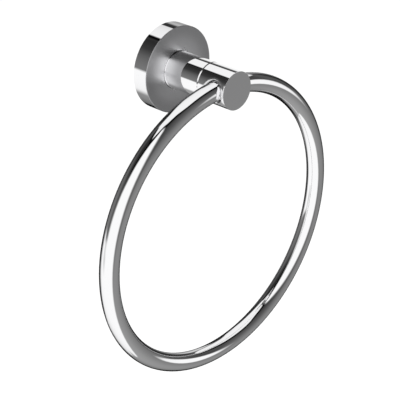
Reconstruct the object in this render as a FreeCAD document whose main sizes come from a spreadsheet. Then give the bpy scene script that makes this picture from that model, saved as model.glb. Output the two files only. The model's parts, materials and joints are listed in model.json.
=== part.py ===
"""Wall towel ring: a hanging ring that passes through the head of a round post.

Millimetres, +Z up. The origin is the middle of the back face, on the wall. The wall is the plane Y = 0 and
the post stands out of it along -Y. The ring hangs in a plane parallel to the wall.
"""

import FreeCAD
import Part
import Sketcher

import math
import os

SIZES = [
    # round wall cover
    ("plate_diameter", 46.0, "outside diameter of the wall cover"),
    ("plate_depth", 9.0, "from the wall to the front face of the cover"),
    ("plate_wall", 1.2, "wall of the cover, rim and front"),
    ("plate_edge_chamfer", 0.25, "chamfer round the cover's front edge"),
    ("plate_hole_clearance", 0.1, "radial gap between the post and the hole it comes out of"),
    ("plate_hole_chamfer", 0.35, "chamfer of that hole at the front"),
    # post and head
    ("post_diameter", 20.0, "outside diameter of the post and of its head"),
    ("projection", 50.0, "from the wall to the flat end of the head"),
    ("head_length", 18.0, "length of the head, end face to joint"),
    ("joint_chamfer", 0.4, "chamfer on each side of the joint between post and head"),
    ("end_chamfer", 0.2, "chamfer round the flat end face"),
    ("spigot_diameter", 8.0, "thread on the head that screws into the post"),
    ("spigot_length", 8.0, "length of that thread"),
    ("spigot_clearance", 0.05, "radial gap in the thread"),
    ("spigot_end_gap", 1.0, "room past the end of the thread"),
    # ring and the cross hole it passes through
    ("ring_centre_diameter", 156.0, "diameter of the ring's centre line"),
    ("ring_bar_diameter", 10.0, "diameter of the round bar that the ring is bent from"),
    ("bore_play", 0.12, "least gap between the ring and the cross hole"),
    ("bore_end_wall", 2.2, "metal between the cross hole and the end face"),
    ("mouth_chamfer", 0.9, "edge break of the cross hole's two mouths"),
    # hidden bracket on the wall
    ("bracket_thickness", 2.5, "thickness of the bracket's disc"),
    ("bracket_clearance", 0.3, "radial gap between the disc and the inside of the cover"),
    ("hub_diameter", 12.0, "hub that the post slides over"),
    ("hub_length", 8.0, "length of the hub in front of the disc"),
    ("hub_clearance", 0.05, "radial gap between hub and post"),
    ("hub_end_gap", 0.5, "room past the end of the hub"),
    ("hub_edge_chamfer", 0.5, "chamfer round the hub's end"),
    ("wall_hole_diameter", 4.5, "holes for the two wall screws"),
    # grub screw that locks the post on the hub
    ("grub_diameter", 4.0, "thread of the grub screw"),
    ("grub_setback", 2.9, "from the back end of the post to the screw's axis"),
    ("grub_sink", 0.3, "how far the screw lies under the post's surface"),
    ("grub_clearance", 0.05, "radial gap in the screw's thread"),
    ("grub_key_width", 2.0, "across the flats of the screw's hex socket"),
    ("grub_key_depth", 1.8, "depth of the hex socket"),
    ("hub_groove_depth", 0.5, "groove round the hub that the screw's tip sits in"),
]

doc = FreeCAD.newDocument("towel_ring")
sheet = doc.addObject("Spreadsheet::Sheet", "Sizes")
for row, (name, value, note) in enumerate(SIZES, start=1):
    sheet.set("A%d" % row, name)
    sheet.set("B%d" % row, str(value))
    sheet.set("C%d" % row, note)
    sheet.setAlias("B%d" % row, name)
doc.recompute()

# Sizes that several pieces share, written once from the named values.
POST_RADIUS = "(Sizes.post_diameter / 2)"
PLATE_RADIUS = "(Sizes.plate_diameter / 2)"
RIM_INSIDE = "(%s - Sizes.plate_wall)" % PLATE_RADIUS
HOLE_RADIUS = "(%s + Sizes.plate_hole_clearance)" % POST_RADIUS
BRACKET_RADIUS = "(%s - Sizes.bracket_clearance)" % RIM_INSIDE
HUB_RADIUS = "(Sizes.hub_diameter / 2)"
SOCKET_RADIUS = "(%s + Sizes.hub_clearance)" % HUB_RADIUS
POST_BACK = "Sizes.bracket_thickness"
HUB_END = "(Sizes.bracket_thickness + Sizes.hub_length)"
SOCKET_END = "(%s + Sizes.hub_end_gap)" % HUB_END
JOINT = "(Sizes.projection - Sizes.head_length)"
SPIGOT_RADIUS = "(Sizes.spigot_diameter / 2)"
SPIGOT_END = "(%s - Sizes.spigot_length)" % JOINT
THREAD_RADIUS = "(%s + Sizes.spigot_clearance)" % SPIGOT_RADIUS
THREAD_END = "(%s - Sizes.spigot_end_gap)" % SPIGOT_END
GRUB_DEPTH = "(%s + Sizes.grub_setback)" % POST_BACK
GRUB_RADIUS = "(Sizes.grub_diameter / 2)"
GROOVE_RADIUS = "(%s - Sizes.hub_groove_depth)" % HUB_RADIUS
GROOVE_HALF = "(%s * 0.8)" % GRUB_RADIUS

# The ring is curved and its hole is straight. Inside the hole the ring's centre line rises by this much,
# so the hole is wider than the bar by half of it, and the ring sits half above and half below the axis.
RING_RADIUS = "(Sizes.ring_centre_diameter / 2)"
STRAIGHT_HALF = "(%s - Sizes.mouth_chamfer)" % POST_RADIUS
RING_RISE = "(%s - sqrt(%s ^ 2 - %s ^ 2))" % (RING_RADIUS, RING_RADIUS, STRAIGHT_HALF)
BORE_RADIUS = "(Sizes.ring_bar_diameter / 2 + %s / 2 + Sizes.bore_play)" % RING_RISE
RING_DEPTH = "(Sizes.projection - Sizes.bore_end_wall - %s)" % BORE_RADIUS


def body_named(label):
    body = doc.addObject("PartDesign::Body", label)
    body.Label = label
    return body


def plane_of(body, role):
    for feature in body.Origin.OriginFeatures:
        if feature.Role == role:
            return feature
    raise ValueError("no plane " + role)


def sketch_on(body, role, name):
    sketch = body.newObject("Sketcher::SketchObject", name)
    sketch.AttachmentSupport = [(plane_of(body, role), "")]
    sketch.MapMode = "FlatFace"
    return sketch


def bind(sketch, index, name, expression):
    sketch.renameConstraint(index, name)
    sketch.setExpression("Constraints." + name, expression)


def turned_profile(body, name, corners):
    """Half section of a turned piece, on the XY plane.

    Each corner is (name, radius, depth): its distance from the post's axis and its distance from the wall.
    None means that it lies on the axis, or on the wall. The outline is turned about the Y axis.
    """
    sketch = sketch_on(body, "XY_Plane", name + "_profile")
    count = len(corners)
    points = []
    for step, (_, radius, depth) in enumerate(corners):
        # a rough start on a simple shape: the constraints place every corner
        x = 0.0 if radius is None else value_of(radius)
        y = 0.0 if depth is None else -value_of(depth)
        points.append(FreeCAD.Vector(x, y, 0))
    for step in range(count):
        sketch.addGeometry(Part.LineSegment(points[step], points[(step + 1) % count]), False)
    for step in range(count):
        sketch.addConstraint(Sketcher.Constraint("Coincident", step, 2, (step + 1) % count, 1))
    for step, (label, radius, depth) in enumerate(corners):
        if radius is None:
            sketch.addConstraint(Sketcher.Constraint("PointOnObject", step, 1, -2))
        else:
            index = sketch.addConstraint(Sketcher.Constraint("DistanceX", -1, 1, step, 1, points[step].x))
            bind(sketch, index, label + "_radius", radius)
        if depth is None:
            sketch.addConstraint(Sketcher.Constraint("PointOnObject", step, 1, -1))
        else:
            index = sketch.addConstraint(Sketcher.Constraint("DistanceY", step, 1, -1, 1, -points[step].y))
            bind(sketch, index, label + "_depth", depth)
    turned = body.newObject("PartDesign::Revolution", name + "_turned")
    turned.Profile = sketch
    turned.ReferenceAxis = (sketch, ["V_Axis"])
    turned.Angle = 360
    doc.recompute()
    return turned


def circle_in(sketch, x, y, radius):
    """Index of a new circle: the constraints then place it."""
    centre = FreeCAD.Vector(x, y, 0)
    return sketch.addGeometry(Part.Circle(centre, FreeCAD.Vector(0, 0, 1), radius))


def value_of(expression):
    """The number that an expression of sheet values stands for."""
    value = sheet.evalExpression(expression)
    return float(getattr(value, "Value", value))


def edges_where(feature, test):
    names = []
    for number, edge in enumerate(feature.Shape.Edges, start=1):
        if all(test(point) for point in edge.discretize(9)):
            names.append("Edge%d" % number)
    if not names:
        raise ValueError("no edge found on " + feature.Name)
    return names


def near(a, b):
    return abs(a - b) < 1e-4


def from_axis(point):
    return math.hypot(point.x, point.z)


def dress(body, kind, name, base, test, size):
    """Round or chamfer the edges of the base feature that pass the test."""
    feature = body.newObject("PartDesign::" + kind, name)
    feature.Base = (base, edges_where(base, test))
    feature.setExpression("Radius" if kind == "Fillet" else "Size", size)
    doc.recompute()
    return feature


# Wall cover: a turned cup with a hole for the post.
cover = body_named("cover_plate")
cup = turned_profile(cover, "cup", [
    ("rim_outer_back", PLATE_RADIUS, None),
    ("rim_outer_front", PLATE_RADIUS, "Sizes.plate_depth"),
    ("hole_front", HOLE_RADIUS, "Sizes.plate_depth"),
    ("hole_back", HOLE_RADIUS, "Sizes.plate_depth - Sizes.plate_wall"),
    ("rim_inner_front", RIM_INSIDE, "Sizes.plate_depth - Sizes.plate_wall"),
    ("rim_inner_back", RIM_INSIDE, None),
])
rim_radius = value_of(PLATE_RADIUS)
front = value_of("Sizes.plate_depth")
hole_radius = value_of(HOLE_RADIUS)
cup_edge = dress(cover, "Chamfer", "front_edge", cup,
                 lambda p: near(from_axis(p), rim_radius) and near(p.y, -front), "Sizes.plate_edge_chamfer")
cup_hole = dress(cover, "Chamfer", "hole_chamfer", cup_edge,
                 lambda p: near(from_axis(p), hole_radius) and near(p.y, -front), "Sizes.plate_hole_chamfer")
cover.Tip = cup_hole

# Wall bracket: a disc with two screw holes and a hub with a groove for the grub screw.
bracket = body_named("wall_bracket")
hub = turned_profile(bracket, "hub", [
    ("centre_back", None, None),
    ("disc_back", BRACKET_RADIUS, None),
    ("disc_front", BRACKET_RADIUS, "Sizes.bracket_thickness"),
    ("hub_foot", HUB_RADIUS, "Sizes.bracket_thickness"),
    ("groove_back", HUB_RADIUS, "%s - %s" % (GRUB_DEPTH, GROOVE_HALF)),
    ("groove_floor_back", GROOVE_RADIUS, "%s - %s" % (GRUB_DEPTH, GROOVE_HALF)),
    ("groove_floor_front", GROOVE_RADIUS, "%s + %s" % (GRUB_DEPTH, GROOVE_HALF)),
    ("groove_front", HUB_RADIUS, "%s + %s" % (GRUB_DEPTH, GROOVE_HALF)),
    ("hub_end", HUB_RADIUS, HUB_END),
    ("centre_front", None, HUB_END),
])
hub_radius = value_of(HUB_RADIUS)
hub_end = value_of(HUB_END)
hub_edge = dress(bracket, "Chamfer", "hub_edge", hub,
                 lambda p: near(from_axis(p), hub_radius) and near(p.y, -hub_end), "Sizes.hub_edge_chamfer")
holes = sketch_on(bracket, "XZ_Plane", "wall_holes")
hole_place = "(%s + %s) / 2" % (POST_RADIUS, BRACKET_RADIUS)
for side, label in ((1, "right"), (-1, "left")):
    place = value_of(hole_place)
    circle = circle_in(holes, side * place, 0, value_of("Sizes.wall_hole_diameter / 2"))
    holes.addConstraint(Sketcher.Constraint("PointOnObject", circle, 3, -1))
    if side > 0:
        index = holes.addConstraint(Sketcher.Constraint("DistanceX", -1, 1, circle, 3, place))
    else:
        index = holes.addConstraint(Sketcher.Constraint("DistanceX", circle, 3, -1, 1, place))
    bind(holes, index, label + "_place", hole_place)
    index = holes.addConstraint(Sketcher.Constraint("Diameter", circle, value_of("Sizes.wall_hole_diameter")))
    bind(holes, index, label + "_diameter", "Sizes.wall_hole_diameter")
doc.recompute()
wall_holes = bracket.newObject("PartDesign::Pocket", "wall_screw_holes")
wall_holes.Profile = holes
wall_holes.Type = "ThroughAll"
wall_holes.Midplane = True
doc.recompute()
bracket.Tip = wall_holes

# Post: a turned bar with a socket for the hub behind and a threaded hole for the head in front.
post = body_named("post")
bar = turned_profile(post, "bar", [
    ("socket_floor_centre", None, SOCKET_END),
    ("socket_floor", SOCKET_RADIUS, SOCKET_END),
    ("socket_mouth", SOCKET_RADIUS, POST_BACK),
    ("back_edge", POST_RADIUS, POST_BACK),
    ("front_edge", POST_RADIUS, JOINT),
    ("thread_mouth", THREAD_RADIUS, JOINT),
    ("thread_floor", THREAD_RADIUS, THREAD_END),
    ("thread_floor_centre", None, THREAD_END),
])
post_radius = value_of(POST_RADIUS)
joint = value_of(JOINT)
bar_edge = dress(post, "Chamfer", "joint_edge", bar,
                 lambda p: near(from_axis(p), post_radius) and near(p.y, -joint), "Sizes.joint_chamfer")
grub_sketch = sketch_on(post, "XY_Plane", "grub_hole_circle")
grub_depth = value_of(GRUB_DEPTH)
grub_hole_radius = "%s + Sizes.grub_clearance" % GRUB_RADIUS
circle = circle_in(grub_sketch, 0, -grub_depth, value_of(grub_hole_radius))
grub_sketch.addConstraint(Sketcher.Constraint("PointOnObject", circle, 3, -2))
index = grub_sketch.addConstraint(Sketcher.Constraint("DistanceY", circle, 3, -1, 1, grub_depth))
bind(grub_sketch, index, "grub_place", GRUB_DEPTH)
index = grub_sketch.addConstraint(Sketcher.Constraint("Radius", circle, value_of(grub_hole_radius)))
bind(grub_sketch, index, "grub_hole", grub_hole_radius)
doc.recompute()
grub_hole = post.newObject("PartDesign::Pocket", "grub_hole")
grub_hole.Profile = grub_sketch
grub_hole.Type = "ThroughAll"
doc.recompute()
post.Tip = grub_hole

# Head: a turned end with a threaded spigot, and the cross hole with broken mouths for the ring.
head = body_named("post_head")
turned_head = turned_profile(head, "head", [
    ("spigot_end_centre", None, SPIGOT_END),
    ("spigot_end", SPIGOT_RADIUS, SPIGOT_END),
    ("spigot_root", SPIGOT_RADIUS, JOINT),
    ("back_edge", POST_RADIUS, JOINT),
    ("end_edge", POST_RADIUS, "Sizes.projection"),
    ("end_centre", None, "Sizes.projection"),
])
end = value_of("Sizes.projection")
head_back = dress(head, "Chamfer", "joint_edge_head", turned_head,
                  lambda p: near(from_axis(p), post_radius) and near(p.y, -joint), "Sizes.joint_chamfer")
head_end = dress(head, "Chamfer", "end_edge", head_back,
                 lambda p: near(from_axis(p), post_radius) and near(p.y, -end), "Sizes.end_chamfer")
bore_sketch = sketch_on(head, "YZ_Plane", "cross_hole_circle")
ring_depth = value_of(RING_DEPTH)
bore_radius = value_of(BORE_RADIUS)
circle = circle_in(bore_sketch, -ring_depth, 0, bore_radius)
bore_sketch.addConstraint(Sketcher.Constraint("PointOnObject", circle, 3, -1))
index = bore_sketch.addConstraint(Sketcher.Constraint("DistanceX", circle, 3, -1, 1, ring_depth))
bind(bore_sketch, index, "cross_hole_place", RING_DEPTH)
index = bore_sketch.addConstraint(Sketcher.Constraint("Radius", circle, bore_radius))
bind(bore_sketch, index, "cross_hole_radius", BORE_RADIUS)
doc.recompute()
cross_hole = head.newObject("PartDesign::Pocket", "cross_hole")
cross_hole.Profile = bore_sketch
cross_hole.Type = "ThroughAll"
cross_hole.Midplane = True
doc.recompute()


def on_mouth(point):
    return near(from_axis(point), post_radius) and near(math.hypot(point.y + ring_depth, point.z), bore_radius)


mouths = dress(head, "Chamfer", "mouth_edges", cross_hole, on_mouth, "Sizes.mouth_chamfer")
head.Tip = mouths

# Ring: one closed bar, turned about its own centre and hung through the cross hole.
ring = body_named("ring")
bar_sketch = sketch_on(ring, "XY_Plane", "bar_section")
ring_radius = value_of(RING_RADIUS)
circle = circle_in(bar_sketch, ring_radius, 0, value_of("Sizes.ring_bar_diameter / 2"))
bar_sketch.addConstraint(Sketcher.Constraint("PointOnObject", circle, 3, -1))
index = bar_sketch.addConstraint(Sketcher.Constraint("DistanceX", -1, 1, circle, 3, ring_radius))
bind(bar_sketch, index, "bar_place", RING_RADIUS)
index = bar_sketch.addConstraint(Sketcher.Constraint("Diameter", circle, value_of("Sizes.ring_bar_diameter")))
bind(bar_sketch, index, "bar_diameter", "Sizes.ring_bar_diameter")
doc.recompute()
bent_bar = ring.newObject("PartDesign::Revolution", "bent_bar")
bent_bar.Profile = bar_sketch
bent_bar.ReferenceAxis = (bar_sketch, ["V_Axis"])
bent_bar.Angle = 360
ring.Tip = bent_bar
ring.setExpression("Placement.Base.y", "-%s" % RING_DEPTH)
ring.setExpression("Placement.Base.z", "%s / 2 - %s" % (RING_RISE, RING_RADIUS))
doc.recompute()

# Grub screw: a plain threaded pin with a reduced tip and a hex socket, pointing up into the hub's groove.
GRUB_TOP = "(-%s)" % GROOVE_RADIUS
GRUB_FOOT = "(Sizes.grub_sink - %s)" % POST_RADIUS
TIP_RADIUS = "(%s * 0.7)" % GRUB_RADIUS
shank = doc.addObject("Part::Cylinder", "grub_shank")
shank.setExpression("Radius", GRUB_RADIUS)
shank.setExpression("Height", "-%s - %s" % (HUB_RADIUS, GRUB_FOOT))
shank.setExpression("Placement.Base.y", "-%s" % GRUB_DEPTH)
shank.setExpression("Placement.Base.z", GRUB_FOOT)
tip = doc.addObject("Part::Cylinder", "grub_tip")
tip.setExpression("Radius", TIP_RADIUS)
tip.setExpression("Height", "%s - %s" % (GRUB_TOP, GRUB_FOOT))
tip.setExpression("Placement.Base.y", "-%s" % GRUB_DEPTH)
tip.setExpression("Placement.Base.z", GRUB_FOOT)
solid_grub = doc.addObject("Part::Fuse", "grub_solid")
solid_grub.Base = shank
solid_grub.Tool = tip
key = doc.addObject("Part::Prism", "grub_key")
key.Polygon = 6
key.setExpression("Circumradius", "Sizes.grub_key_width / sqrt(3)")
key.setExpression("Height", "Sizes.grub_key_depth")
key.setExpression("Placement.Base.y", "-%s" % GRUB_DEPTH)
key.setExpression("Placement.Base.z", GRUB_FOOT)
grub = doc.addObject("Part::Cut", "bracket_set_screw")
grub.Label = "bracket_set_screw"
grub.Base = solid_grub
grub.Tool = key
doc.recompute()

NODES = [cover, bracket, post, head, ring, grub]

for thing in doc.Objects:
    if "Invalid" in thing.State or "Error" in thing.State:
        raise RuntimeError("%s did not compute" % thing.Label)
for node in NODES:
    shape = node.Shape
    if shape.isNull() or not shape.isValid() or len(shape.Solids) != 1:
        raise RuntimeError("%s is not one valid solid" % node.Label)

os.makedirs("parts", exist_ok=True)
for node in NODES:
    node.Shape.exportStep("parts/%s.step" % node.Label)
    print("%-18s volume %10.1f mm3  box %s" % (node.Label, node.Shape.Volume, node.Shape.BoundBox))
print("ring plane %.3f mm from the wall, cross hole radius %.3f mm" % (ring_depth, bore_radius))
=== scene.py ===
"""Looks of the wall towel ring: polished chrome in a plain photo studio.

Metres, in the same frame as the model: +Z up, the wall at Y = 0, the post along -Y.
"""

import json
import math

import bpy
from mathutils import Matrix, Vector


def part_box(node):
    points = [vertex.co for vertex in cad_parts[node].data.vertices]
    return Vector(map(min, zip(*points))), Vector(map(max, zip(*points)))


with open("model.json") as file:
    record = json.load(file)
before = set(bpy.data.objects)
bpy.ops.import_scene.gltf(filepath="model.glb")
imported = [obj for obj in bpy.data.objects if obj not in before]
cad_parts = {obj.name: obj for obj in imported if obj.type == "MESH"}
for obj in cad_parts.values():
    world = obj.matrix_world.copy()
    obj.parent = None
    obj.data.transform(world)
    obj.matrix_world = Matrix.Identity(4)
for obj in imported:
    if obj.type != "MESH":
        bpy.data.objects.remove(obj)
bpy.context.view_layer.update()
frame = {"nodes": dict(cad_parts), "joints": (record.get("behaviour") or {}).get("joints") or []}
scene = bpy.context.scene
scene.view_settings.view_transform = "Standard"

# Camera: where it stands round the origin, and where the origin lands in the 400 pixel frame.
CAMERA_AZIMUTH = -46.32
CAMERA_ELEVATION = 26.66
CAMERA_ROLL = 1.63
CAMERA_DISTANCE = 0.5794
ORIGIN_PIXEL = (166.46, 65.08)
PIXELS_PER_METRE = 1930.0
FRAME_PIXELS = 400.0
SENSOR_WIDTH = 36.0
CLIP_NEAR = 0.01
CLIP_FAR = 60.0

# The way the front faces, and what a place is multiplied by to leave out the way along the post.
FRONT = (0.0, -1.0, 0.0)
OFF_POST = (1.0, 0.0, 1.0)

# Chrome: the colours of its clouds, how rough its haze and hairlines are, and their scales per metre.
CHROME_DARK = (0.945, 0.945, 0.955, 1.0)
CHROME_PALE = (0.975, 0.975, 0.98, 1.0)
CLOUD_SCALE = 40.0
HAZE_SCALE = 300.0
HAZE_RANGE = (0.3, 0.7)
POLISH_FINE = 0.012
POLISH_COARSE = 0.035
HAIRLINE = 0.03
HAIRLINE_SCALES = (2500.0, 90.0, 400.0)
HAIRLINE_RANGE = (0.66, 0.74)

# How much the ring and the cover still mirror at a flat glance, where 1 is all of it. It makes dark outlines.
RING_EDGE = 0.15
COVER_EDGE = 0.35

# The shallow waves in the chrome, per metre and in metres.
WAVE_SCALE = 120.0
WAVE_DEPTH = 0.000008

# The cover's satin face, near the post and out at the rim. Its shade is a painted glow: paler near the post
# and darker at the rim, so the post's reflection in it fades out with distance.
FACE_NEAR_POST = {"radius": 0.0100, "roughness": 0.25, "shade": 0.74}
FACE_AT_RIM = {"radius": 0.0210, "roughness": 0.42, "shade": 0.46}

# The face is what is turned this much to the front, and lies outside the hole's polished chamfer. That takes
# in the front edge's chamfer, which so gets the face's satin and the painted glow's darker colour.
FACE_TURN = (0.4, 0.6)
FACE_INSIDE = (0.0104, 0.0105)

# Rounding of the cross hole's mouths, and how far from the swing's axis it fades out.
MOUTH_ROUND = 0.0020
MOUTH_FADE = (0.0080, 0.0090)
MOUTH_SAMPLES = 8

# The broken edge of the mouths leans by this share towards the head's own roundness.
LIP_SHARE = 0.55

# That starts this far off the post's axis, and ends this far from the swing's axis.
LIP_START = (0.0082, 0.0086)
LIP_END = (0.0070, 0.0080)

# The fine edge of the end face, as a depth behind that face.
END_EDGE = (0.0001, 0.0003)

# Turned steel: its colours, and the scale, depth and roughness of its fine rings and clouds.
STEEL_DARK = (0.42, 0.42, 0.42, 1.0)
STEEL_PALE = (0.62, 0.62, 0.61, 1.0)
OXIDE_DARK = (0.06, 0.06, 0.065, 1.0)
OXIDE_PALE = (0.16, 0.16, 0.165, 1.0)
TURNING = {"Scale": 800.0, "Distortion": 1.5, "Detail": 2.0}
TURNING_DEPTH = 0.000003
STEEL_CLOUD_SCALE = 150.0
STEEL_CLOUD_DETAIL = 4.0
STEEL_RANGE = (0.3, 1.5)
STEEL_FINE = 0.26
STEEL_COARSE = 0.44

# Floor, far enough below the ring to leave the views from below free.
FLOOR_HEIGHT = -0.65
FLOOR_HALF = 6.0
FLOOR_CLOUD_SCALE = 3.0
FLOOR_GREYS = (186, 190)
FLOOR_GLOW = (0.5, 0.5, 0.5, 1.0)

# One soft lamp for the floor's shadow.
LAMP_PLACE = (-0.5, -0.9, 1.6)
LAMP_AIM = (0.0, 0.0, -0.1)
LAMP_SIZE = 1.2
LAMP_WATTS = 20.0


def grey(value):
    """A grey written as it looks on screen, from 0 to 255, as a linear colour by the sRGB curve."""
    share = value / 255.0
    linear = share / 12.92 if share <= 0.04045 else ((share + 0.055) / 1.055) ** 2.4
    return (linear, linear, linear, 1.0)


def metal_shade(shade):
    """A metal's colour, a little bluer than grey."""
    return (shade, shade, shade * 1.02, 1.0)


def direction(azimuth, elevation):
    """Azimuth 0 is the front of the object, at -Y, and 90 is at +X."""
    a = math.radians(azimuth)
    e = math.radians(elevation)
    return Vector((math.sin(a) * math.cos(e), -math.cos(a) * math.cos(e), math.sin(e)))


class Nodes:
    """Short calls for making and joining shader nodes.

    The mix node's vectors are inputs 4 and 5 and output 1, and its colours are inputs 6 and 7 and output 2.
    """

    def __init__(self, tree):
        self.tree = tree
        tree.nodes.clear()

    def new(self, kind, **settings):
        node = self.tree.nodes.new(kind)
        for name, value in settings.items():
            setattr(node, name, value)
        return node

    def put(self, socket, value):
        """A number or colour sets the socket, and another node's output is joined to it."""
        if isinstance(value, bpy.types.NodeSocket):
            self.tree.links.new(value, socket)
        else:
            socket.default_value = value

    def math(self, operation, *values):
        node = self.new("ShaderNodeMath", operation=operation)
        for socket, value in zip(node.inputs, values):
            self.put(socket, value)
        return node.outputs[0]

    def vector_math(self, operation, vector, fixed):
        node = self.new("ShaderNodeVectorMath", operation=operation)
        self.put(node.inputs[0], vector)
        self.put(node.inputs[1], fixed)
        return node.outputs["Value" if operation == "DOT_PRODUCT" else "Vector"]

    def step(self, value, low, high, start=0.0, end=1.0, smooth=True):
        """Goes from start to end while the value goes from low to high."""
        node = self.new("ShaderNodeMapRange", interpolation_type="SMOOTHSTEP" if smooth else "LINEAR")
        for name, given in (("Value", value), ("From Min", low), ("From Max", high),
                            ("To Min", start), ("To Max", end)):
            self.put(node.inputs[name], given)
        return node.outputs["Result"]

    def mix(self, factor, first, second):
        """A colour between the first and the second."""
        node = self.new("ShaderNodeMix", data_type="RGBA")
        self.put(node.inputs[0], factor)
        self.put(node.inputs[6], first)
        self.put(node.inputs[7], second)
        return node.outputs[2]

    def ramp(self, value, stops):
        """A grey that runs through the stops, each an angle from -90 to 90 and a grey from 0 to 255."""
        node = self.new("ShaderNodeValToRGB")
        self.put(node.inputs[0], self.step(value, -90.0, 90.0, smooth=False))
        elements = node.color_ramp.elements
        while len(elements) < len(stops):
            elements.new(1.0)
        for element, (angle, shade) in zip(elements, stops):
            element.position = angle / 180.0 + 0.5
            element.color = grey(shade)
        return node.outputs["Color"]

    def parts(self, vector):
        node = self.new("ShaderNodeSeparateXYZ")
        self.put(node.inputs[0], vector)
        return node.outputs["X"], node.outputs["Y"], node.outputs["Z"]

    def length(self, first, second):
        """The length of two parts at right angles."""
        first_square = self.math("MULTIPLY", first, first)
        second_square = self.math("MULTIPLY", second, second)
        return self.math("SQRT", self.math("ADD", first_square, second_square))

    def mix_vectors(self, factor, first, second):
        node = self.new("ShaderNodeMix", data_type="VECTOR")
        self.put(node.inputs[0], factor)
        self.put(node.inputs[4], first)
        self.put(node.inputs[5], second)
        return node.outputs[1]

    def world_normal(self, vector):
        """A direction on the part, turned into the scene's directions."""
        node = self.new("ShaderNodeVectorTransform", vector_type="NORMAL", convert_from="OBJECT",
                        convert_to="WORLD")
        self.put(node.inputs[0], vector)
        return node.outputs[0]

    def bump(self, height, depth, normal=None):
        """Raises the surface by the depth in metres where the height is 1."""
        node = self.new("ShaderNodeBump")
        self.put(node.inputs["Strength"], 1.0)
        self.put(node.inputs["Distance"], depth)
        self.put(node.inputs["Height"], height)
        if normal is not None:
            self.put(node.inputs["Normal"], normal)
        return node.outputs[0]

    def noise(self, vector, scale, detail=2.0):
        node = self.new("ShaderNodeTexNoise")
        for name, value in (("Vector", vector), ("Scale", scale), ("Detail", detail)):
            self.put(node.inputs[name], value)
        return node.outputs[0]


def set_camera():
    a = math.radians(CAMERA_AZIMUTH)
    back = direction(CAMERA_AZIMUTH, CAMERA_ELEVATION)
    level_right = Vector((math.cos(a), math.sin(a), 0.0))
    level_up = back.cross(level_right)
    roll = math.radians(CAMERA_ROLL)
    right = level_right * math.cos(roll) + level_up * math.sin(roll)
    up = level_up * math.cos(roll) - level_right * math.sin(roll)
    aside = (ORIGIN_PIXEL[0] - FRAME_PIXELS / 2) / PIXELS_PER_METRE
    above = (FRAME_PIXELS / 2 - ORIGIN_PIXEL[1]) / PIXELS_PER_METRE
    data = bpy.data.cameras.new("camera")
    data.sensor_width = SENSOR_WIDTH
    data.lens = PIXELS_PER_METRE * CAMERA_DISTANCE * SENSOR_WIDTH / FRAME_PIXELS
    data.clip_start = CLIP_NEAR
    data.clip_end = CLIP_FAR
    camera = bpy.data.objects.new("camera", data)
    place = back * CAMERA_DISTANCE - right * aside - up * above
    turned = Matrix((right, up, back)).transposed().to_4x4()
    camera.matrix_world = Matrix.Translation(place) @ turned
    scene.collection.objects.link(camera)
    scene.camera = camera


# The studio that the chrome reflects, in degrees and in greys as they look on screen.
SEAM = -57.0
WHITE = 255
CEILING_GREY = 247

# Its plain grey, and that of its left wall: a grey for each elevation.
ROOM = [(-90, 166), (-72, 162), (-45, 150), (-20, 131), (0, 117), (15, 102), (27, 88), (39, 80), (57, 62),
        (90, 50)]
LEFT_WALL = [(-40, 122), (0, 119), (12, 108), (21, 94), (33, 58), (45, 40), (56, 44), (62, 44)]

# The ceiling's edge: an elevation for each azimuth.
CEILING_LINE = [(-57, 78), (-30, 78), (-9, 77), (3, 74.5), (9, 71.5), (15, 67), (24, 63), (45, 61), (60, 58),
                (75, 52.5), (83, 47), (87, 31), (100, 28), (122, 24), (129, 26), (136, 35.5), (142, 32.5),
                (147, 23), (153, 22), (159, 31), (165, 35.5), (171, 40.5), (183, 47.5), (192, 51.5),
                (201, 58), (213, 60), (237, 63), (243, 66), (249, 70), (262, 75.5), (270, 78), (303, 78)]

# The sides of the white panel on the left and of the white ground by it: an azimuth for each elevation.
PANEL_RIGHT = [(-81, 15), (-75, 11), (-69, 4), (-60, -0.5), (-50, -4), (-27, -8), (-9, -11.5), (3, -14.5),
               (21, -16), (45, -21), (51, -24), (57, -24), (63, -28), (69, -38), (73, -50)]
PANEL_LEFT = [(-8, 255.5), (9, 256.5), (27, 259), (34, 263), (45, 265), (51, 267.5), (57, 272), (63, 280),
              (69, 299), (73, 303)]
GROUND_LEFT = [(-72, 180), (-63, 188), (-54, 195), (-45, 198.5), (-39, 200.5), (-33, 206.5), (-21, 210),
               (-9, 211)]

# How soft those edges are. The panel's left one differs before and past its line.
CEILING_SOFT = 1.5
PANEL_RIGHT_SOFT = 7.5
PANEL_LEFT_SOFT = (13.0, 11.0)
GROUND_SOFT = 8.0

# Other sides: a limit and how soft it is.
GROUND_TOP = (-6.0, 3.0)
GROUND_END = (-86.0, 3.0)
PANEL_TOP = (72.0, 2.5)
LEFT_BOTTOM = (-14.0, 4.0)
LEFT_WALL_SIDE = (190.0, 9.0)

# name: grey, azimuth from and to, elevation from and to, softness, strength
PATCHES = {
    "dim_right": (90, 84, 120, -25, 24, 4, 1.0),
    "beside_light": (62, 75, 83, 1, 14, 3, 0.8),
    "dim_edge": (62, 99, 119, -24, 21, 3, 1.0),
    "dim_low_right": (118, 84, 118, -56, -27, 4, 1.0),
    "arc_one": (55, 96, 126, -68, -57, 4, 1.0),
    "arc_two": (50, 122, 172, -64, -49, 4, 1.0),
    "black_low": (6, 117, 153, -57, -33.5, 3, 1.0),
    "black_behind": (3, 137, 157.5, -18, 13, 2, 1.0),
    "dark_ahead": (4, 131, 159, -38, -14, 3, 1.0),
    "under_ceiling": (20, 134, 176, 12, 40, 3, 0.6),
    "grey_behind": (68, 157, 190, -2, 26, 4, 1.0),
    "light_behind": (185, 156, 173, -19, -5, 3, 1.0),
    "grey_low": (158, 154, 204, -52, -42, 4, 1.0),
    "dim_corner": (62, 171, 201, -42, 8, 6, 1.0),
    "over_light": (66, 42, 80, 13, 34, 7, 0.8),
    "black_corner": (10, 160, 173, 19, 32, 2.5, 1.0),
    "black_right": (8, 76, 88, 30, 52, 4, 1.0),
}

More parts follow.
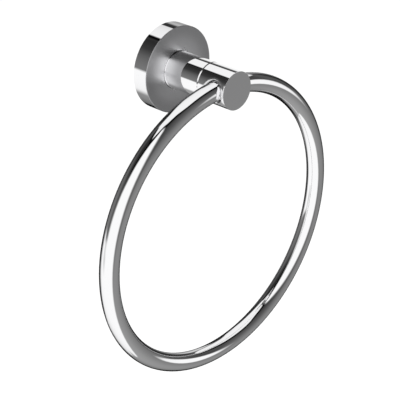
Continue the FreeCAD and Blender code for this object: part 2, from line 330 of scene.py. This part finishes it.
# Shapes with sides of their own: each side is a limit and how soft it is.
GREY_ON_LEFT = {"value": 66, "strength": 0.5, "left": (234.0, 3.0), "bottom": (-2.0, 6.0)}
BLACK_ON_LEFT = {"value": 5, "left": (235.0, 3.0), "bottom": (38.0, 4.0)}
COLUMN = {"value": 250, "left": (118.0, 3.0), "right": (137.0, 1.2),
          "bottom": (-24.0, 8.0), "top": (19.0, 6.0)}
DIM_GROUND = {"value": 190, "strength": 0.7, "left": (241.0, 4.0), "right": (262.0, 6.0),
              "bottom": (-22.0, 7.0), "top": (-5.0, 4.0)}

# The black band under the ceiling, and the thin one on the left wall: how deep, and how soft below.
BAND = {"value": 8, "right": (85.0, 2.0)}
BAND_DEPTH = 15.0
BAND_SOFT = 6.0
THIN_BAND = {"value": 4, "left": (180.0, 4.0)}
THIN_BAND_DEPTH = 5.5
THIN_BAND_SOFT = 2.0

# The faint dark strip beside the panel: from and to past the panel's right side, and how soft there.
STRIP = {"value": 60, "strength": 0.4, "bottom": (-25.0, 15.0), "top": (60.0, 4.0)}
STRIP_FROM = 5.0
STRIP_TO = 18.0
STRIP_SOFT = 5.0

# The round white light in front: its middle, its half width and half height, and how soft it is.
LIGHT = {"azimuth": 53.8, "elevation": 0.5, "across": 17.2, "up": 15.2, "soft": 3.5}


class Studio:
    """Draws soft-edged shapes on the sphere of directions, one over the other.

    Azimuth 0 is the front, 90 is at +X and 180 is behind the wall. It runs on past 180 to the seam, which
    lies in the middle of the white panel on the left.
    """

    def __init__(self, nodes):
        self.n = nodes
        x, y, z = nodes.parts(nodes.new("ShaderNodeTexCoord").outputs["Generated"])
        to_degrees = 180.0 / math.pi
        self.elevation = nodes.math("MULTIPLY", nodes.math("ARCSINE", z), to_degrees)
        turn = nodes.math("ARCTAN2", x, nodes.math("MULTIPLY", y, -1.0))
        past_seam = nodes.math("SUBTRACT", nodes.math("MULTIPLY", turn, to_degrees), SEAM)
        self.azimuth = nodes.math("ADD", nodes.math("FLOORED_MODULO", past_seam, 360.0), SEAM)
        self.colour = nodes.ramp(self.elevation, ROOM)

    def line(self, value, points):
        """A broken line through the points, read at the value."""
        total = points[0][1]
        for (start, first), (end, second) in zip(points, points[1:]):
            if first != second:
                rise = self.n.step(value, start, end, 0.0, second - first, smooth=False)
                total = self.n.math("ADD", rise, total)
        return total

    def beyond(self, value, limit, soft, soft_after=None):
        """1 where the value is past the limit, 0 before it."""
        past = self.n.math("SUBTRACT", value, limit)
        return self.n.step(past, -soft, soft if soft_after is None else soft_after)

    def short_of(self, value, limit, soft):
        """1 where the value is short of the limit, 0 past it."""
        return self.n.step(self.n.math("SUBTRACT", limit, value), -soft, soft)

    def window(self, left=None, right=None, bottom=None, top=None):
        """1 inside the sides that are given, 0 outside them."""
        inside = 1.0
        if left:
            inside = self.n.math("MULTIPLY", inside, self.beyond(self.azimuth, *left))
        if right:
            inside = self.n.math("MULTIPLY", inside, self.short_of(self.azimuth, *right))
        if bottom:
            inside = self.n.math("MULTIPLY", inside, self.beyond(self.elevation, *bottom))
        if top:
            inside = self.n.math("MULTIPLY", inside, self.short_of(self.elevation, *top))
        return inside

    def lay(self, colour, cover):
        """Puts a colour over what is there, as far as the cover goes."""
        self.colour = self.n.mix(cover, self.colour, colour)

    def paint(self, value, strength=1.0, **sides):
        """Lays a grey inside the sides."""
        self.lay(grey(value), self.n.math("MULTIPLY", self.window(**sides), strength))


def paint_room(studio, ceiling):
    band_bottom = studio.n.math("SUBTRACT", ceiling, BAND_DEPTH)
    studio.paint(bottom=(band_bottom, BAND_SOFT), **BAND)
    for value, az_from, az_to, el_from, el_to, soft, strength in PATCHES.values():
        studio.paint(value, strength, left=(az_from, soft), right=(az_to, soft),
                     bottom=(el_from, soft), top=(el_to, soft))


def paint_left_wall(studio, ceiling):
    wall = studio.window(left=LEFT_WALL_SIDE, bottom=LEFT_BOTTOM)
    studio.lay(studio.n.ramp(studio.elevation, LEFT_WALL), wall)
    band_bottom = studio.n.math("SUBTRACT", ceiling, THIN_BAND_DEPTH)
    studio.paint(bottom=(band_bottom, THIN_BAND_SOFT), **THIN_BAND)
    studio.paint(**GREY_ON_LEFT)
    studio.paint(**BLACK_ON_LEFT)


def paint_round_light(studio):
    n = studio.n
    aside = n.math("SUBTRACT", studio.azimuth, LIGHT["azimuth"])
    above = n.math("SUBTRACT", studio.elevation, LIGHT["elevation"])
    rounded = n.math("MULTIPLY", aside, LIGHT["up"] / LIGHT["across"])
    studio.lay(grey(WHITE), studio.short_of(n.length(rounded, above), LIGHT["up"], LIGHT["soft"]))


def paint_ground(studio):
    side = studio.line(studio.elevation, GROUND_LEFT)
    studio.paint(WHITE, left=(side, GROUND_SOFT), bottom=GROUND_END, top=GROUND_TOP)
    studio.paint(**DIM_GROUND)


def paint_panel(studio):
    """The white panel is two halves that meet at the seam."""
    right = studio.line(studio.elevation, PANEL_RIGHT)
    strip_from = studio.n.math("ADD", right, STRIP_FROM)
    strip_to = studio.n.math("ADD", right, STRIP_TO)
    studio.paint(left=(strip_from, STRIP_SOFT), right=(strip_to, STRIP_SOFT), **STRIP)
    studio.paint(WHITE, right=(right, PANEL_RIGHT_SOFT), bottom=GROUND_END, top=PANEL_TOP)
    left = studio.line(studio.elevation, PANEL_LEFT)
    studio.paint(WHITE, left=(left, *PANEL_LEFT_SOFT), bottom=LEFT_BOTTOM, top=PANEL_TOP)


def paint_studio(studio):
    """The order counts, because each shape covers those before it."""
    ceiling = studio.line(studio.azimuth, CEILING_LINE)
    paint_room(studio, ceiling)
    paint_left_wall(studio, ceiling)
    studio.paint(**COLUMN)
    paint_round_light(studio)
    paint_ground(studio)
    paint_panel(studio)
    studio.paint(CEILING_GREY, bottom=(ceiling, CEILING_SOFT))


def set_studio():
    world = bpy.data.worlds.new("studio")
    world.use_nodes = True
    scene.world = world
    n = Nodes(world.node_tree)
    studio = Studio(n)
    paint_studio(studio)
    reflected = n.new("ShaderNodeBackground")
    n.put(reflected.inputs["Color"], studio.colour)
    plain = n.new("ShaderNodeBackground")
    n.put(plain.inputs["Color"], grey(WHITE))
    choose = n.new("ShaderNodeMixShader")
    n.put(choose.inputs[0], n.new("ShaderNodeLightPath").outputs["Is Glossy Ray"])
    n.put(choose.inputs[1], plain.outputs[0])
    n.put(choose.inputs[2], reflected.outputs[0])
    n.put(n.new("ShaderNodeOutputWorld").inputs["Surface"], choose.outputs[0])


def set_floor():
    mesh = bpy.data.meshes.new("floor")
    signs = ((-1, -1), (1, -1), (1, 1), (-1, 1))
    corners = [(x * FLOOR_HALF, y * FLOOR_HALF, FLOOR_HEIGHT) for x, y in signs]
    mesh.from_pydata(corners, [], [(0, 1, 2, 3)])
    floor = bpy.data.objects.new("floor", mesh)
    scene.collection.objects.link(floor)
    material = bpy.data.materials.new("pale_floor")
    material.use_nodes = True
    n = Nodes(material.node_tree)
    place = n.new("ShaderNodeNewGeometry").outputs["Position"]
    surface = n.new("ShaderNodeBsdfDiffuse")
    dark, pale = FLOOR_GREYS
    n.put(surface.inputs["Color"], n.mix(n.noise(place, FLOOR_CLOUD_SCALE), grey(dark), grey(pale)))
    glow = n.new("ShaderNodeEmission")
    n.put(glow.inputs["Color"], FLOOR_GLOW)
    n.put(glow.inputs["Strength"], n.new("ShaderNodeLightPath").outputs["Is Camera Ray"])
    both = n.new("ShaderNodeAddShader")
    n.put(both.inputs[0], surface.outputs[0])
    n.put(both.inputs[1], glow.outputs[0])
    n.put(n.new("ShaderNodeOutputMaterial").inputs["Surface"], both.outputs[0])
    mesh.materials.append(material)
    floor.visible_glossy = False


def set_lamp():
    """One large soft lamp overhead, for the floor's shadow."""
    data = bpy.data.lights.new("soft_lamp", "AREA")
    data.shape = "DISK"
    data.size = LAMP_SIZE
    data.energy = LAMP_WATTS
    lamp = bpy.data.objects.new("soft_lamp", data)
    lamp.location = LAMP_PLACE
    lamp.rotation_mode = "QUATERNION"
    lamp.rotation_quaternion = (Vector(LAMP_AIM) - lamp.location).to_track_quat("-Z", "Y")
    lamp.visible_glossy = False
    scene.collection.objects.link(lamp)


def metal(name, edge=1.0):
    """A metal surface, its nodes, and the place on the part in metres.

    The edge is how much the metal still mirrors at a flat glance. Real chromium dips only a little there.
    """
    material = bpy.data.materials.new(name)
    material.use_nodes = True
    n = Nodes(material.node_tree)
    surface = n.new("ShaderNodeBsdfPrincipled")
    n.put(surface.inputs["Metallic"], 1.0)
    n.put(surface.inputs["Specular Tint"], (edge, edge, edge, 1.0))
    n.put(n.new("ShaderNodeOutputMaterial").inputs["Surface"], surface.outputs[0])
    return material, n, surface, n.new("ShaderNodeTexCoord").outputs["Object"]


def polish(n, place):
    """The colour and roughness of chrome: faint clouds, a thin haze and hairlines left by the polishing."""
    colour = n.mix(n.noise(place, CLOUD_SCALE), CHROME_DARK, CHROME_PALE)
    haze = n.step(n.noise(place, HAZE_SCALE), *HAZE_RANGE, POLISH_FINE, POLISH_COARSE)
    streaks = n.noise(n.vector_math("MULTIPLY", place, HAIRLINE_SCALES), 1.0)
    hairlines = n.step(streaks, *HAIRLINE_RANGE, 0.0, HAIRLINE)
    return colour, n.math("ADD", haze, hairlines)


def chrome(name, edge=1.0):
    """Polished chrome plate."""
    material, n, surface, place = metal(name, edge)
    colour, roughness = polish(n, place)
    n.put(surface.inputs["Base Color"], colour)
    n.put(surface.inputs["Roughness"], roughness)
    n.put(surface.inputs["Normal"], n.bump(n.noise(place, WAVE_SCALE), WAVE_DEPTH))
    return material


def chrome_head(name):
    """The cross hole's mouths are polished round, and the end face's fine edge reads as part of that face."""
    material, n, surface, place = metal(name)
    colour, roughness = polish(n, place)
    x, y, z = n.parts(place)
    swing = frame["joints"][0]["pos_m"]
    off_axis = n.length(n.math("SUBTRACT", y, swing[1]), n.math("SUBTRACT", z, swing[2]))
    rounded = n.new("ShaderNodeBevel", samples=MOUTH_SAMPLES)
    n.put(rounded.inputs["Radius"], n.step(off_axis, *MOUTH_FADE, MOUTH_ROUND, 0.0))
    outward = n.world_normal(n.vector_math("MULTIPLY", place, OFF_POST))
    near_skin = n.step(n.length(x, z), *LIP_START)
    on_lip = n.math("MULTIPLY", near_skin, n.step(off_axis, *LIP_END, LIP_SHARE, 0.0))
    lip = n.mix_vectors(on_lip, rounded.outputs[0], outward)
    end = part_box("post_head")[0][1]
    at_end = n.step(y, end + END_EDGE[0], end + END_EDGE[1], 1.0, 0.0)
    normal = n.mix_vectors(at_end, lip, n.world_normal(FRONT))
    n.put(surface.inputs["Base Color"], colour)
    n.put(surface.inputs["Roughness"], roughness)
    n.put(surface.inputs["Normal"], n.bump(n.noise(place, WAVE_SCALE), WAVE_DEPTH, normal))
    return material


def chrome_cover(name):
    """The rim and the hole's chamfer are polished. The face is satin, finer near the post than at the rim,
    and its colour is a painted glow: paler near the post, darker at the rim.
    """
    material, n, surface, place = metal(name, COVER_EDGE)
    colour, roughness = polish(n, place)
    normal = n.new("ShaderNodeTexCoord").outputs["Normal"]
    x, _, z = n.parts(place)
    off_axis = n.length(x, z)
    turned = n.math("ABSOLUTE", n.vector_math("DOT_PRODUCT", normal, FRONT))
    face = n.math("MULTIPLY", n.step(turned, *FACE_TURN), n.step(off_axis, *FACE_INSIDE))
    outward = n.step(off_axis, FACE_NEAR_POST["radius"], FACE_AT_RIM["radius"])
    # Painted glow: the face's colour runs from pale near the post to dark at the rim, so the post's
    # reflection fades outward.
    shade = n.mix(outward, metal_shade(FACE_NEAR_POST["shade"]), metal_shade(FACE_AT_RIM["shade"]))
    satin = n.step(outward, 0.0, 1.0, FACE_NEAR_POST["roughness"], FACE_AT_RIM["roughness"], smooth=False)
    n.put(surface.inputs["Base Color"], n.mix(face, colour, shade))
    n.put(surface.inputs["Roughness"], n.math("ADD", roughness, n.math("MULTIPLY", face, satin)))
    n.put(surface.inputs["Normal"], n.bump(n.noise(place, WAVE_SCALE), WAVE_DEPTH))
    return material


def turned_steel(name, node, axis, dark, pale):
    """Bare steel with the fine rings that turning leaves round the piece's own axis."""
    material, n, surface, place = metal(name)
    low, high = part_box(node)
    middle = [(a + b) / 2 for a, b in zip(low, high)]
    rings = n.new("ShaderNodeTexWave", wave_type="RINGS", rings_direction=axis)
    n.put(rings.inputs["Vector"], n.vector_math("SUBTRACT", place, middle))
    for socket, value in TURNING.items():
        n.put(rings.inputs[socket], value)
    marks = rings.outputs["Fac"]
    clouds = n.noise(place, STEEL_CLOUD_SCALE, STEEL_CLOUD_DETAIL)
    wear = n.math("ADD", clouds, marks)
    n.put(surface.inputs["Base Color"], n.mix(n.math("MULTIPLY", clouds, marks), dark, pale))
    n.put(surface.inputs["Roughness"], n.step(wear, *STEEL_RANGE, STEEL_FINE, STEEL_COARSE))
    n.put(surface.inputs["Normal"], n.bump(marks, TURNING_DEPTH))
    return material


def dress(node, material):
    for slot in frame["nodes"][node].material_slots:
        slot.link = "OBJECT"
        slot.material = material


set_camera()
set_studio()
set_floor()
set_lamp()
dress("cover_plate", chrome_cover("chrome_cover_plate"))
dress("post_head", chrome_head("chrome_post_head"))
dress("post", chrome("chrome_post"))
dress("ring", chrome("chrome_ring", RING_EDGE))
dress("wall_bracket", turned_steel("steel_wall_bracket", "wall_bracket", "Y", STEEL_DARK, STEEL_PALE))
dress("bracket_set_screw", turned_steel("oxide_bracket_set_screw", "bracket_set_screw", "Z",
                                        OXIDE_DARK, OXIDE_PALE))
